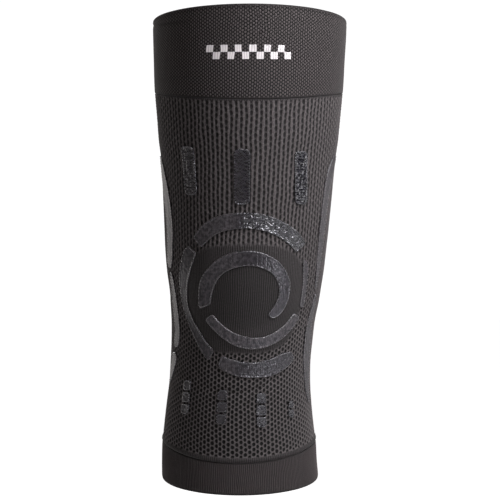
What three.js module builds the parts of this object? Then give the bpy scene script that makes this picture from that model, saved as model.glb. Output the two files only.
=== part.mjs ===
// A knitted knee sleeve, held open in the shape it has on a leg.
// Millimetres, +Z up the leg, -Y to the front (the kneecap), +X to the right of the front view.
// The origin is on the leg's axis at the height of the kneecap's centre.

import * as THREE from 'three';
import { mergeVertices } from 'three/addons/utils/BufferGeometryUtils.js';

// Heights from the kneecap's centre, at the side of the leg
const ABOVE_KNEE = 189;
const BELOW_KNEE = 129.5;
const RIM_RISE = 4.5;
const HEM_DROP = 6.9;

// Named cross-sections of the outer face: width, depth, and how far the middle sits behind the axis
const THIGH = { width: 135, depth: 142, setback: 1 };
const KNEE = { width: 105, depth: 110.5, setback: -3.2 };
const SHIN = { width: 97.7, depth: 104.5, setback: -2.2 };
const CALF = { width: 109.2, depth: 111, setback: 4.5 };

// How far the leg's middle wanders sideways, to the right above the knee and to the left below it
const LEG_SWAY = 4.4;

// The kneecap under the knit, and the raised ring round it
const KNEECAP = { radius: 46, rise: 3.4 };
const PAD_RING = { radius: 32, width: 11, rise: 1.3 };

// Walls, seams and edges
const BAND_WALL = 2.2;
const BODY_WALL = 1.7;
const CUFF_WALL = 2.2;
const SEAM_GAP = 0.3;
const EDGE_ROUND = 0.8;
const BAND_HEIGHT = 47;
const BAND_FRONT_DROP = 12.3;
const CUFF_HEIGHT = 30.8;
const CUFF_FRONT_DROP = 15.9;
const HEM = { height: 3.2, groove: 0.5 };
const ROLL = { height: 3.4, rise: 0.6 };

// Bonded prints
const PRINT_GAP = 0.3;
const PRINT_THICKNESS = 0.7;
const PRINT_EDGE = 0.35;
const PRINT_STEP = 5.2;
const THIGH_BAR = { width: 10, length: 36, top: 97, corner: 3.6 };
const OUTER_RING_RADIUS = 54;
const INNER_RING_RADIUS = 31;
const SHIN_DASH = { width: 7.6, height: 7.2, gap: 1, top: 64, corner: 3, innerCorner: 0.9 };
const SIDE_STRIP = { above: 95, below: 76 };

// Fineness of the solids
const STEPS_AROUND = 56;
const FRONT_CROWDING = 0.36;
const KNEE_ROW_STEP = 5.2;
const BODY_ROW_STEP = 10;
const INNER_ROW_STEP = 17;

// Sections up the leg. at: share of the named height above or below the kneecap. thigh, shin, calf: how
// much of the change from the knee's section to that named section. sway: share of LEG_SWAY.
const SECTIONS = [
  { at: -1.10, thigh: 0, shin: 0.00, calf: 1.00, sway: -0.78 },
  { at: -1.00, thigh: 0, shin: 0.00, calf: 1.00, sway: -0.80 },
  { at: -0.91, thigh: 0, shin: 0.08, calf: 0.92, sway: -0.92 },
  { at: -0.80, thigh: 0, shin: 0.19, calf: 0.81, sway: -0.97 },
  { at: -0.69, thigh: 0, shin: 0.46, calf: 0.54, sway: -1.00 },
  { at: -0.58, thigh: 0, shin: 0.73, calf: 0.27, sway: -0.96 },
  { at: -0.48, thigh: 0, shin: 0.94, calf: 0.06, sway: -0.85 },
  { at: -0.37, thigh: 0, shin: 1.00, calf: 0.00, sway: -0.73 },
  { at: -0.26, thigh: 0, shin: 0.89, calf: 0.00, sway: -0.50 },
  { at: -0.15, thigh: 0, shin: 0.66, calf: 0.00, sway: -0.30 },
  { at: -0.05, thigh: 0, shin: 0.20, calf: 0.00, sway: -0.08 },
  { at: 0.00, thigh: 0.00, shin: 0, calf: 0, sway: 0.00 },
  { at: 0.08, thigh: 0.15, shin: 0, calf: 0, sway: 0.04 },
  { at: 0.16, thigh: 0.25, shin: 0, calf: 0, sway: 0.10 },
  { at: 0.23, thigh: 0.32, shin: 0, calf: 0, sway: 0.21 },
  { at: 0.34, thigh: 0.42, shin: 0, calf: 0, sway: 0.35 },
  { at: 0.49, thigh: 0.56, shin: 0, calf: 0, sway: 0.50 },
  { at: 0.56, thigh: 0.68, shin: 0, calf: 0, sway: 0.52 },
  { at: 0.64, thigh: 0.77, shin: 0, calf: 0, sway: 0.56 },
  { at: 0.75, thigh: 0.89, shin: 0, calf: 0, sway: 0.59 },
  { at: 0.86, thigh: 0.95, shin: 0, calf: 0, sway: 0.65 },
  { at: 0.95, thigh: 1.00, shin: 0, calf: 0, sway: 0.72 },
  { at: 1.06, thigh: 1.03, shin: 0, calf: 0, sway: 0.73 },
];

// Thigh bars. angle: degrees round the leg at the top and bottom. top, length: shares of the named sizes.
const THIGH_BARS = [
  { name: 'left', angleTop: -42.5, angleBottom: -40, top: 1.03, length: 0.93 },
  { name: 'centre', angleTop: -4, angleBottom: -3.5, top: 1.00, length: 1.04 },
  { name: 'right', angleTop: 35.5, angleBottom: 38.5, top: 0.99, length: 1.00 },
];

// Outer ring. clock: degrees clockwise from straight up the leg. inner, outer: shares of its radius.
const OUTER_RING = {
  print_ring_top: [
    { clock: -44, inner: 0.79, outer: 0.98 },
    { clock: -25, inner: 0.82, outer: 1.02 },
    { clock: -5, inner: 0.81, outer: 1.01 },
    { clock: 25, inner: 0.80, outer: 1.00 },
    { clock: 52, inner: 0.82, outer: 1.02 },
  ],
  print_ring_left: [
    { clock: -152, inner: 0.80, outer: 0.96 },
    { clock: -130, inner: 0.77, outer: 0.90 },
    { clock: -113, inner: 0.79, outer: 0.91 },
    { clock: -98, inner: 0.83, outer: 0.96 },
    { clock: -86, inner: 0.82, outer: 0.985 },
    { clock: -70, inner: 0.78, outer: 0.985 },
    { clock: -57, inner: 0.785, outer: 0.99 },
    { clock: -51, inner: 0.80, outer: 0.97 },
  ],
  print_ring_right: [
    { clock: 62, inner: 0.87, outer: 0.93 },
    { clock: 70, inner: 0.83, outer: 0.935 },
    { clock: 87, inner: 0.80, outer: 0.90 },
    { clock: 102, inner: 0.81, outer: 0.91 },
  ],
  print_ring_bottom: [
    { clock: 134, inner: 1.04, outer: 1.18 },
    { clock: 142, inner: 0.96, outer: 1.17 },
    { clock: 155, inner: 0.91, outer: 1.13 },
    { clock: 167, inner: 0.88, outer: 1.08 },
    { clock: 179, inner: 0.845, outer: 1.04 },
    { clock: 199, inner: 0.81, outer: 0.965 },
  ],
};

// Inner ring, in the same columns
const INNER_RING = {
  print_kneecap_upper: [
    { clock: -108, inner: 0.78, outer: 1.10 },
    { clock: -90, inner: 0.71, outer: 1.065 },
    { clock: -75, inner: 0.67, outer: 1.03 },
    { clock: -57, inner: 0.64, outer: 0.97 },
    { clock: -37, inner: 0.61, outer: 0.94 },
    { clock: -5, inner: 0.595, outer: 0.93 },
    { clock: 31, inner: 0.645, outer: 0.96 },
    { clock: 52, inner: 0.70, outer: 0.995 },
    { clock: 78, inner: 0.73, outer: 1.02 },
    { clock: 104, inner: 0.71, outer: 0.99 },
    { clock: 122, inner: 0.68, outer: 0.93 },
    { clock: 131, inner: 0.69, outer: 0.84 },
  ],
  print_kneecap_lower: [
    { clock: 109, inner: 1.30, outer: 1.575 },
    { clock: 121, inner: 1.23, outer: 1.49 },
    { clock: 134, inner: 1.15, outer: 1.41 },
    { clock: 150, inner: 1.07, outer: 1.32 },
    { clock: 167, inner: 0.975, outer: 1.24 },
    { clock: 182, inner: 0.90, outer: 1.165 },
    { clock: 202, inner: 0.835, outer: 1.075 },
    { clock: 219, inner: 0.81, outer: 1.035 },
    { clock: 238, inner: 0.82, outer: 1.05 },
  ],
};

// Columns of short dashes below the knee. angle: degrees round the leg. top, size: shares of SHIN_DASH.
const SHIN_DASHES = [
  { angle: -46, top: 0.92, size: 1.00, count: 3 },
  { angle: -13, top: 1.01, size: 1.00, count: 3 },
  { angle: 17.5, top: 1.045, size: 1.00, count: 3 },
  { angle: 44.5, top: 1.14, size: 0.74, count: 2 },
];

// Side strips. at: share of SIDE_STRIP above or below the knee. front, back: degrees round the leg.
const SIDE_STRIPS = {
  print_side_left_upper: [
    { at: 0.18, front: -67.5, back: -73 },
    { at: 0.25, front: -63.5, back: -73.2 },
    { at: 0.47, front: -60.8, back: -71.5 },
    { at: 0.70, front: -64.5, back: -76 },
    { at: 0.86, front: -71, back: -82 },
    { at: 0.95, front: -76.5, back: -86 },
    { at: 1.00, front: -82, back: -87 },
  ],
  print_side_left_middle: [
    { at: -0.49, front: -62.5, back: -69 },
    { at: -0.38, front: -59, back: -68.6 },
    { at: -0.26, front: -60.1, back: -69.6 },
    { at: 0.02, front: -64.5, back: -72.5 },
    { at: 0.15, front: -66.5, back: -70.5 },
  ],
  print_side_left_lower: [
    { at: -0.82, front: -76, back: -79 },
    { at: -0.70, front: -67.6, back: -76.4 },
    { at: -0.58, front: -63.5, back: -74 },
    { at: -0.54, front: -67, back: -74 },
  ],
  print_side_right_upper: [
    { at: 0.03, front: 64.2, back: 66.8 },
    { at: 0.16, front: 62, back: 68 },
    { at: 0.34, front: 60.6, back: 68.8 },
    { at: 0.53, front: 60.5, back: 69.6 },
    { at: 0.70, front: 61.5, back: 71.5 },
    { at: 0.86, front: 64.5, back: 76.5 },
    { at: 0.96, front: 70.5, back: 81.5 },
    { at: 1.00, front: 75.5, back: 81.5 },
  ],
  print_side_right_lower: [
    { at: -1.00, front: 71, back: 74 },
    { at: -0.88, front: 66, back: 73.2 },
    { at: -0.73, front: 63.6, back: 73.4 },
    { at: -0.60, front: 61.1, back: 74 },
    { at: -0.38, front: 60, back: 71.8 },
    { at: -0.26, front: 61.1, back: 70 },
    { at: -0.14, front: 63.2, back: 70.4 },
    { at: -0.01, front: 65.6, back: 68.2 },
  ],
};

// The girth that angles round the leg are turned into millimetres with
const MEAN_RADIUS = (KNEE.width + KNEE.depth) / 4;

const radians = THREE.MathUtils.degToRad;

// Reads one column of a table at a place between its rows, as a smooth curve through them
function readSmooth(rows, place, key, at) {
  let low = 0;
  while (low < rows.length - 2 && at > rows[low + 1][place]) low += 1;
  const slope = (i, j) => (rows[j][key] - rows[i][key]) / (rows[j][place] - rows[i][place]);
  const before = Math.max(low - 1, 0);
  const after = Math.min(low + 2, rows.length - 1);
  const span = rows[low + 1][place] - rows[low][place];
  const t = (at - rows[low][place]) / span;
  const start = slope(before, low + 1) * span;
  const end = slope(low, after) * span;
  const from = rows[low][key];
  const to = rows[low + 1][key];
  return from * (1 + 2 * t) * (1 - t) ** 2 + to * (3 - 2 * t) * t ** 2
    + start * t * (1 - t) ** 2 - end * (1 - t) * t ** 2;
}

// The sleeve's smooth outer cross-section at a height: half sizes and middle
function sectionAt(z) {
  const at = z / (z > 0 ? ABOVE_KNEE : BELOW_KNEE);
  const share = (key) => readSmooth(SECTIONS, 'at', key, at);
  const thigh = share('thigh');
  const shin = share('shin');
  const calf = share('calf');
  const blend = (size) => KNEE[size] + thigh * (THIGH[size] - KNEE[size])
    + shin * (SHIN[size] - KNEE[size]) + calf * (CALF[size] - KNEE[size]);
  return {
    halfWidth: blend('width') / 2,
    halfDepth: blend('depth') / 2,
    middleX: share('sway') * LEG_SWAY,
    middleY: blend('setback'),
  };
}

// Height of the kneecap's dome and of the pad ring round it, over the smooth tube
function kneecapRelief(angle, z) {
  const across = angle * MEAN_RADIUS;
  const reach = Math.hypot(across, z);
  const dome = Math.max(0, 1 - (reach / KNEECAP.radius) ** 2);
  const ring = Math.exp(-(((reach - PAD_RING.radius) / PAD_RING.width) ** 2));
  return KNEECAP.rise * dome ** 2 + PAD_RING.rise * ring;
}

// A point on the sleeve: angle is zero at the front and grows to the right; out is the distance
// outwards from the knit's outer face, negative inside the wall
function onSleeve(angle, z, out) {
  const { halfWidth, halfDepth, middleX, middleY } = sectionAt(z);
  const wrapped = Math.atan2(Math.sin(angle), Math.cos(angle));
  const normal = new THREE.Vector2(Math.sin(angle) / halfWidth, -Math.cos(angle) / halfDepth).normalize();
  const lift = kneecapRelief(wrapped, z) + out;
  return new THREE.Vector3(
    middleX + halfWidth * Math.sin(angle) + normal.x * lift,
    middleY - halfDepth * Math.cos(angle) + normal.y * lift,
    z,
  );
}

// The four edges that run round the sleeve, as heights at an angle
const towardsFront = (angle) => ((1 + Math.cos(angle)) / 2) ** 2;
const topRim = (angle) => ABOVE_KNEE + RIM_RISE * Math.cos(angle);
const bandSeam = (angle) => ABOVE_KNEE - BAND_HEIGHT - BAND_FRONT_DROP * towardsFront(angle);
const cuffSeam = (angle) => -(BELOW_KNEE - CUFF_HEIGHT) - CUFF_FRONT_DROP * towardsFront(angle);
const bottomHem = (angle) => -BELOW_KNEE - HEM_DROP * Math.cos(angle);

// Steps round the leg, closer together over the kneecap
function angleAt(step) {
  const turn = (2 * Math.PI * step) / STEPS_AROUND;
  return turn - FRONT_CROWDING * Math.sin(turn);
}

function closedGeometry(positions, indices) {
  const geometry = new THREE.BufferGeometry();
  geometry.setAttribute('position', new THREE.Float32BufferAttribute(positions, 3));
  geometry.setIndex(indices);
  return geometry;
}

// A knitted wall that runs once round the leg. loop holds the wall's section, going up the outer face
// and down the inner one: up is the share of the height from the lower edge to the upper one, shift a
// distance in millimetres up from there, out the distance from the outer face.
function tubeWall(lowerEdge, upperEdge, loop) {
  const positions = [];
  const indices = [];
  const rows = loop.length;
  for (let step = 0; step < STEPS_AROUND; step += 1) {
    const angle = angleAt(step);
    const low = lowerEdge(angle);
    const height = upperEdge(angle) - low;
    const next = (step + 1) % STEPS_AROUND;
    for (let row = 0; row < rows; row += 1) {
      const { up, shift, out } = loop[row];
      positions.push(...onSleeve(angle, low + up * height + shift, out));
      const above = (row + 1) % rows;
      const a = step * rows + row;
      const b = next * rows + row;
      const c = next * rows + above;
      const d = step * rows + above;
      indices.push(a, b, c, a, c, d);
    }
  }
  return closedGeometry(positions, indices);
}

// Rows at even steps between two shares of the height, both ends left out
function evenRows(from, to, count, out) {
  const rows = [];
  for (let i = 1; i < count; i += 1) {
    rows.push({ up: from + ((to - from) * i) / count, shift: 0, out });
  }
  return rows;
}

// The rounded upper and lower edges of a wall, and the outer and inner rows between them
function wallLoop(wall, outerRows, innerRows) {
  return [
    { up: 0, shift: 0, out: -0.45 * wall },
    { up: 0, shift: EDGE_ROUND, out: 0 },
    ...outerRows,
    { up: 1, shift: -EDGE_ROUND, out: 0 },
    { up: 1, shift: 0, out: -0.45 * wall },
    { up: 1, shift: -EDGE_ROUND, out: -wall },
    ...innerRows,
    { up: 0, shift: EDGE_ROUND, out: -wall },
  ];
}

// Double-thickness thigh band, with a groove under its turned rim
function thighBand() {
  const hem = [
    { up: 1, shift: -HEM.height - EDGE_ROUND, out: 0 },
    { up: 1, shift: -HEM.height, out: -HEM.groove },
    { up: 1, shift: -HEM.height + EDGE_ROUND, out: 0 },
  ];
  const outerRows = [...evenRows(0, 0.93, 5, 0), ...hem];
  const innerRows = evenRows(1, 0, 3, -BAND_WALL);
  const lower = (angle) => bandSeam(angle) + SEAM_GAP / 2;
  return tubeWall(lower, topRim, wallLoop(BAND_WALL, outerRows, innerRows));
}

// Mesh-knit body, with the rolled edge that overlies the cuff's seam
function knitBody() {
  const bottom = cuffSeam(0);
  const height = bandSeam(0) - bottom;
  const shareOf = (z) => (z - bottom) / height;
  const kneeLow = shareOf(-KNEECAP.radius);
  const kneeHigh = shareOf(KNEECAP.radius);
  const rollTop = (ROLL.height + EDGE_ROUND) / height;
  const counts = (from, to, step) => Math.max(1, Math.round(((to - from) * height) / step));
  const roll = [
    { up: 0, shift: ROLL.height / 2, out: ROLL.rise },
    { up: 0, shift: ROLL.height, out: 0 },
  ];
  const outerRows = [
    ...roll,
    ...evenRows(rollTop, kneeLow, counts(rollTop, kneeLow, BODY_ROW_STEP), 0),
    { up: kneeLow, shift: 0, out: 0 },
    ...evenRows(kneeLow, kneeHigh, counts(kneeLow, kneeHigh, KNEE_ROW_STEP), 0),
    { up: kneeHigh, shift: 0, out: 0 },
    ...evenRows(kneeHigh, 1, counts(kneeHigh, 1, BODY_ROW_STEP), 0),
  ];
  const innerRows = evenRows(1, 0, counts(0, 1, INNER_ROW_STEP), -BODY_WALL);
  const lower = (angle) => cuffSeam(angle) + SEAM_GAP / 2;
  const upper = (angle) => bandSeam(angle) - SEAM_GAP / 2;
  return tubeWall(lower, upper, wallLoop(BODY_WALL, outerRows, innerRows));
}

// Fine-ribbed calf cuff
function calfCuff() {
  const upper = (angle) => cuffSeam(angle) - SEAM_GAP / 2;
  const outerRows = evenRows(0, 1, 4, 0);
  const innerRows = evenRows(1, 0, 3, -CUFF_WALL);
  return tubeWall(bottomHem, upper, wallLoop(CUFF_WALL, outerRows, innerRows));
}

// A print laid on the knit: a thin slab whose outline is given in the unrolled surface. place turns
// shares across and along the print into an angle round the leg and a height.
function bondedPrint(stepsAcross, stepsAlong, place) {
  const slab = new THREE.BoxGeometry(1, 1, 1, stepsAcross, stepsAlong, 1);
  slab.deleteAttribute('normal');
  slab.deleteAttribute('uv');
  const geometry = mergeVertices(slab);
  const position = geometry.getAttribute('position');
  for (let i = 0; i < position.count; i += 1) {
    const across = position.getX(i) + 0.5;
    const along = position.getY(i) + 0.5;
    const onEdge = Math.min(across, 1 - across, along, 1 - along) < 1e-6;
    const thickness = onEdge ? PRINT_EDGE : PRINT_THICKNESS;
    const out = PRINT_GAP + (position.getZ(i) > 0 ? thickness : 0);
    const { angle, z } = place(across, along);
    position.setXYZ(i, ...onSleeve(angle, z, out));
  }
  return geometry;
}

// An upright print with straight sides. corners: the corner radius at its bottom and at its top.
// tilt: angles round the leg of its middle at the bottom and at the top.
function uprightPrint(width, length, corners, tilt, bottom) {
  const straight = length - corners.bottom - corners.top;
  const middleSteps = Math.max(1, Math.round(straight / PRINT_STEP));
  const heights = [0, 0.3 * corners.bottom];
  for (let i = 0; i <= middleSteps; i += 1) {
    heights.push(corners.bottom + (straight * i) / middleSteps);
  }
  heights.push(length - 0.3 * corners.top, length);
  const inset = (toEnd, corner) => {
    const past = Math.max(0, corner - toEnd);
    return corner - Math.sqrt(corner ** 2 - past ** 2);
  };
  const place = (across, along) => {
    const up = heights[Math.round(along * (heights.length - 1))];
    const half = width / 2 - inset(up, corners.bottom) - inset(length - up, corners.top);
    const middle = radians(tilt.bottom + ((tilt.top - tilt.bottom) * up) / length);
    return { angle: middle + ((2 * across - 1) * half) / MEAN_RADIUS, z: bottom + up };
  };
  return bondedPrint(2, heights.length - 1, place);
}

// An arc of one of the rings round the kneecap
function ringArc(rows, ringRadius) {
  const first = rows[0].clock;
  const last = rows[rows.length - 1].clock;
  const length = radians(last - first) * ringRadius;
  const place = (across, along) => {
    const clock = first + (last - first) * across;
    const inner = readSmooth(rows, 'clock', 'inner', clock);
    const outer = readSmooth(rows, 'clock', 'outer', clock);
    const reach = (inner + (outer - inner) * along) * ringRadius;
    return {
      angle: (reach * Math.sin(radians(clock))) / MEAN_RADIUS,
      z: reach * Math.cos(radians(clock)),
    };
  };
  return bondedPrint(Math.round(length / PRINT_STEP), 2, place);
}

// A long strip down one side of the sleeve
function sideStrip(rows) {
  const heightOf = (at) => at * (at > 0 ? SIDE_STRIP.above : SIDE_STRIP.below);
  const first = rows[0].at;
  const last = rows[rows.length - 1].at;
  const length = heightOf(last) - heightOf(first);
  const place = (across, along) => {
    const at = first + (last - first) * along;
    const front = readSmooth(rows, 'at', 'front', at);
    const back = readSmooth(rows, 'at', 'back', at);
    const left = Math.min(front, back);
    const right = Math.max(front, back);
    return { angle: radians(left + (right - left) * across), z: heightOf(at) };
  };
  return bondedPrint(2, Math.round(length / (1.4 * PRINT_STEP)), place);
}

const FINISHES = {
  bandKnit: { color: '#363233', roughness: 0.85, metalness: 0 },
  meshKnit: { color: '#332f30', roughness: 0.9, metalness: 0 },
  cuffKnit: { color: '#302c2d', roughness: 0.88, metalness: 0 },
  silicone: { color: '#2f2e33', roughness: 0.35, metalness: 0 },
};

const sleeve = new THREE.Group();

function addPiece(name, geometry, finish) {
  const piece = new THREE.Mesh(geometry, new THREE.MeshStandardMaterial(FINISHES[finish]));
  piece.name = name;
  sleeve.add(piece);
}

addPiece('thigh_band', thighBand(), 'bandKnit');
addPiece('knit_body', knitBody(), 'meshKnit');
addPiece('calf_cuff', calfCuff(), 'cuffKnit');

for (const { name, angleTop, angleBottom, top, length } of THIGH_BARS) {
  const corners = { bottom: THIGH_BAR.corner, top: THIGH_BAR.corner };
  const tilt = { bottom: angleBottom, top: angleTop };
  const barLength = length * THIGH_BAR.length;
  const bottom = top * THIGH_BAR.top - barLength;
  const bar = uprightPrint(THIGH_BAR.width, barLength, corners, tilt, bottom);
  addPiece(`print_thigh_bar_${name}`, bar, 'silicone');
}

for (const [name, rows] of Object.entries(OUTER_RING)) {
  addPiece(name, ringArc(rows, OUTER_RING_RADIUS), 'silicone');
}

for (const [name, rows] of Object.entries(INNER_RING)) {
  addPiece(name, ringArc(rows, INNER_RING_RADIUS), 'silicone');
}

let dashNumber = 0;
for (const { angle, top, size, count } of SHIN_DASHES) {
  const width = size * SHIN_DASH.width;
  const height = size * SHIN_DASH.height;
  for (let row = 0; row < count; row += 1) {
    dashNumber += 1;
    const corners = {
      bottom: size * (row === count - 1 ? SHIN_DASH.corner : SHIN_DASH.innerCorner),
      top: size * (row === 0 ? SHIN_DASH.corner : SHIN_DASH.innerCorner),
    };
    const bottom = -top * SHIN_DASH.top - row * (height + SHIN_DASH.gap) - height;
    const dash = uprightPrint(width, height, corners, { bottom: angle, top: angle }, bottom);
    addPiece(`print_shin_dash_${dashNumber}`, dash, 'silicone');
  }
}

for (const [name, rows] of Object.entries(SIDE_STRIPS)) {
  addPiece(name, sideStrip(rows), 'silicone');
}

export default sleeve;
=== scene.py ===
# Knitted knee sleeve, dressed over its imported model.
# Metres, +Z up the leg, -Y to the front, +X to the right of the front view.

import math

import bmesh
import bpy
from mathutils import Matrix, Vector, noise


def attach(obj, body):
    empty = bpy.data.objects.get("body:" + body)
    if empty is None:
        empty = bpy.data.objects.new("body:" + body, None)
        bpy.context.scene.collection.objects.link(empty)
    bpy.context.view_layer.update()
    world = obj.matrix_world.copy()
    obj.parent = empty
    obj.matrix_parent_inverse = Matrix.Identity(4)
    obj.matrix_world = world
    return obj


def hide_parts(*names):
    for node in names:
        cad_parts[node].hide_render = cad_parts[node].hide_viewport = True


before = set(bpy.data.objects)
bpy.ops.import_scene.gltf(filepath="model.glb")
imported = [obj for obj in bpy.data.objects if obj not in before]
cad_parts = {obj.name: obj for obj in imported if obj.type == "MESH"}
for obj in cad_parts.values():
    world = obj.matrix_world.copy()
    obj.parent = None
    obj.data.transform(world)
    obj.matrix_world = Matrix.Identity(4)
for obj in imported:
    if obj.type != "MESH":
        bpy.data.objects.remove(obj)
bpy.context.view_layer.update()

# Camera
# Level, 1.4 m in front of the kneecap, with a long lens, as the photograph was taken. The image takes in
# 0.35 m at the sleeve.

CAMERA_PLACE = (0.0034, -1.400, 0.0294)
CAMERA_LENS = 144.0

camera_data = bpy.data.cameras.new("camera")
camera_data.sensor_width = 36.0
camera_data.lens = CAMERA_LENS
camera = bpy.data.objects.new("camera", camera_data)
camera.location = CAMERA_PLACE
camera.rotation_euler = (math.radians(90), 0, 0)
bpy.context.collection.objects.link(camera)
bpy.context.scene.camera = camera
bpy.context.scene.view_settings.view_transform = "Standard"
bpy.context.scene.view_settings.look = "None"


# Floor and room
# A plain white photographer's floor that fades into a white room. It lies well below the sleeve, which a leg
# holds up.

FLOOR_DROP = 0.42


def linear(hex_colour):
    """An sRGB hex colour as linear red, green, blue and full alpha."""
    parts = [int(hex_colour[i:i + 2], 16) / 255 for i in (1, 3, 5)]
    return [c / 12.92 if c <= 0.04045 else ((c + 0.055) / 1.055) ** 2.4 for c in parts] + [1.0]


def add_node(tree, kind, settings, inputs):
    """Adds a node, with its settings, and with each input linked to a socket or set to a value."""
    node = tree.nodes.new(kind)
    for name, value in settings.items():
        setattr(node, name, value)
    for name, value in inputs.items():
        if isinstance(value, bpy.types.NodeSocket):
            tree.links.new(value, node.inputs[name])
        else:
            node.inputs[name].default_value = value
    return node


def new_material(name):
    """An empty material with its output node."""
    material = bpy.data.materials.new(name)
    material.use_nodes = True
    material.node_tree.nodes.clear()
    return material, material.node_tree


floor_mesh = bmesh.new()
bmesh.ops.create_circle(floor_mesh, cap_ends=True, segments=96, radius=12.0)
bmesh.ops.translate(floor_mesh, verts=floor_mesh.verts, vec=(0, 0, -FLOOR_DROP))
floor_data = bpy.data.meshes.new("floor")
floor_mesh.to_mesh(floor_data)
floor_mesh.free()
floor = bpy.data.objects.new("floor", floor_data)
bpy.context.collection.objects.link(floor)

# White painted floor: matt, and overexposed to white, as in the photograph.
floor_paint, tree = new_material("floor_white_paint")
ray = add_node(tree, "ShaderNodeLightPath", {}, {})
paint = add_node(tree, "ShaderNodeBsdfPrincipled", {}, {
    "Base Color": linear("#f4f4f4"),
    "Roughness": 0.9,
    "Emission Color": linear("#ffffff"),
    "Emission Strength": ray.outputs["Is Camera Ray"],
})
add_node(tree, "ShaderNodeOutputMaterial", {}, {"Surface": paint.outputs["BSDF"]})
floor_data.materials.append(floor_paint)

# Room: white where the camera sees it, dim and slightly warm as light on the sleeve.
room = bpy.data.worlds.new("room")
room.use_nodes = True
tree = room.node_tree
tree.nodes.clear()
dim_room = add_node(tree, "ShaderNodeBackground", {}, {"Color": linear("#e8d6c2"), "Strength": 0.04})
seen_room = add_node(tree, "ShaderNodeBackground", {}, {"Color": linear("#ffffff"), "Strength": 1.05})
ray = add_node(tree, "ShaderNodeLightPath", {}, {})
room_mix = add_node(tree, "ShaderNodeMixShader", {}, {
    0: ray.outputs["Is Camera Ray"],
    1: dim_room.outputs["Background"],
    2: seen_room.outputs["Background"],
})
add_node(tree, "ShaderNodeOutputWorld", {}, {"Surface": room_mix.outputs["Shader"]})
bpy.context.scene.world = room


# Lights
# A tall softbox on the right in front, a small one above it, a wide dim reflector on the left, one behind for
# the back, and two white panels at the sides, which the glossy prints there reflect.


def softbox(name, azimuth, elevation, distance, width, height, power, colour):
    """An upright panel of light aimed at the kneecap. azimuth 0 is in front, 90 on the right."""
    data = bpy.data.lights.new(name, "AREA")
    data.shape = "RECTANGLE"
    data.size = width
    data.size_y = height
    data.energy = power
    data.color = linear(colour)[:3]
    light = bpy.data.objects.new(name, data)
    a = math.radians(azimuth)
    e = math.radians(elevation)
    towards = Vector((math.sin(a) * math.cos(e), -math.cos(a) * math.cos(e), math.sin(e)))
    light.location = towards * distance
    light.rotation_mode = "QUATERNION"
    light.rotation_quaternion = towards.to_track_quat("Z", "Y")
    bpy.context.collection.objects.link(light)


softbox("key_softbox", 48, 8, 1.5, 0.17, 1.6, 13.0, "#fffdfe")
softbox("upper_softbox", 46, 52, 0.75, 0.34, 0.34, 11.0, "#fffdfe")
softbox("fill_reflector", -40, 2, 2.0, 2.9, 1.8, 6.5, "#fff6f0")
softbox("back_softbox", 190, 35, 1.8, 1.0, 1.0, 24.0, "#ffffff")
softbox("left_backdrop", -136, 5, 1.8, 1.4, 1.4, 7.5, "#fffaf6")
softbox("right_backdrop", 118, 5, 1.8, 1.4, 1.4, 6.5, "#ffffff")


# Knit body
# The knitted tube itself: one length of open mesh knit in nylon and elastane, shaped by the leg inside it,
# with a plain fine-ribbed patch over the kneecap. It is knitted round, so its columns of holes run the whole
# length without a seam.

# Millimetres, as in the part's source
ABOVE_KNEE = 189.0
BELOW_KNEE = 129.5
RIM_RISE = 4.5
HEM_DROP = 6.9
THIGH = {"width": 135.0, "depth": 142.0, "setback": 1.0}
KNEE = {"width": 105.0, "depth": 110.5, "setback": -3.2}
SHIN = {"width": 97.7, "depth": 104.5, "setback": -2.2}
CALF = {"width": 109.2, "depth": 111.0, "setback": 4.5}
LEG_SWAY = 4.4
KNEECAP = {"radius": 46.0, "rise": 3.4}
PAD_RING = {"radius": 32.0, "width": 11.0, "rise": 1.3}
BAND_WALL = 2.2
BODY_WALL = 1.7
CUFF_WALL = 2.2
BAND_HEIGHT = 47.0
BAND_FRONT_DROP = 12.3
CUFF_HEIGHT = 30.8
CUFF_FRONT_DROP = 15.9
MEAN_RADIUS = (KNEE["width"] + KNEE["depth"]) / 4

# Sections up the leg. at: share of the height above or below the kneecap. thigh, shin, calf: how much of
# the change from the knee's section to that one. sway: share of LEG_SWAY.
SECTION_KEYS = ("at", "thigh", "shin", "calf", "sway")
SECTIONS = [dict(zip(SECTION_KEYS, row)) for row in (
    (-1.10, 0, 0.00, 1.00, -0.78),
    (-1.00, 0, 0.00, 1.00, -0.80),
    (-0.91, 0, 0.08, 0.92, -0.92),
    (-0.80, 0, 0.19, 0.81, -0.97),
    (-0.69, 0, 0.46, 0.54, -1.00),
    (-0.58, 0, 0.73, 0.27, -0.96),
    (-0.48, 0, 0.94, 0.06, -0.85),
    (-0.37, 0, 1.00, 0.00, -0.73),
    (-0.26, 0, 0.89, 0.00, -0.50),
    (-0.15, 0, 0.66, 0.00, -0.30),
    (-0.05, 0, 0.20, 0.00, -0.08),
    (0.00, 0.00, 0, 0, 0.00),
    (0.08, 0.15, 0, 0, 0.04),
    (0.16, 0.25, 0, 0, 0.10),
    (0.23, 0.32, 0, 0, 0.21),
    (0.34, 0.42, 0, 0, 0.35),
    (0.49, 0.56, 0, 0, 0.50),
    (0.56, 0.68, 0, 0, 0.52),
    (0.64, 0.77, 0, 0, 0.56),
    (0.75, 0.89, 0, 0, 0.59),
    (0.86, 0.95, 0, 0, 0.65),
    (0.95, 1.00, 0, 0, 0.72),
    (1.06, 1.03, 0, 0, 0.73),
)]


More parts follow.
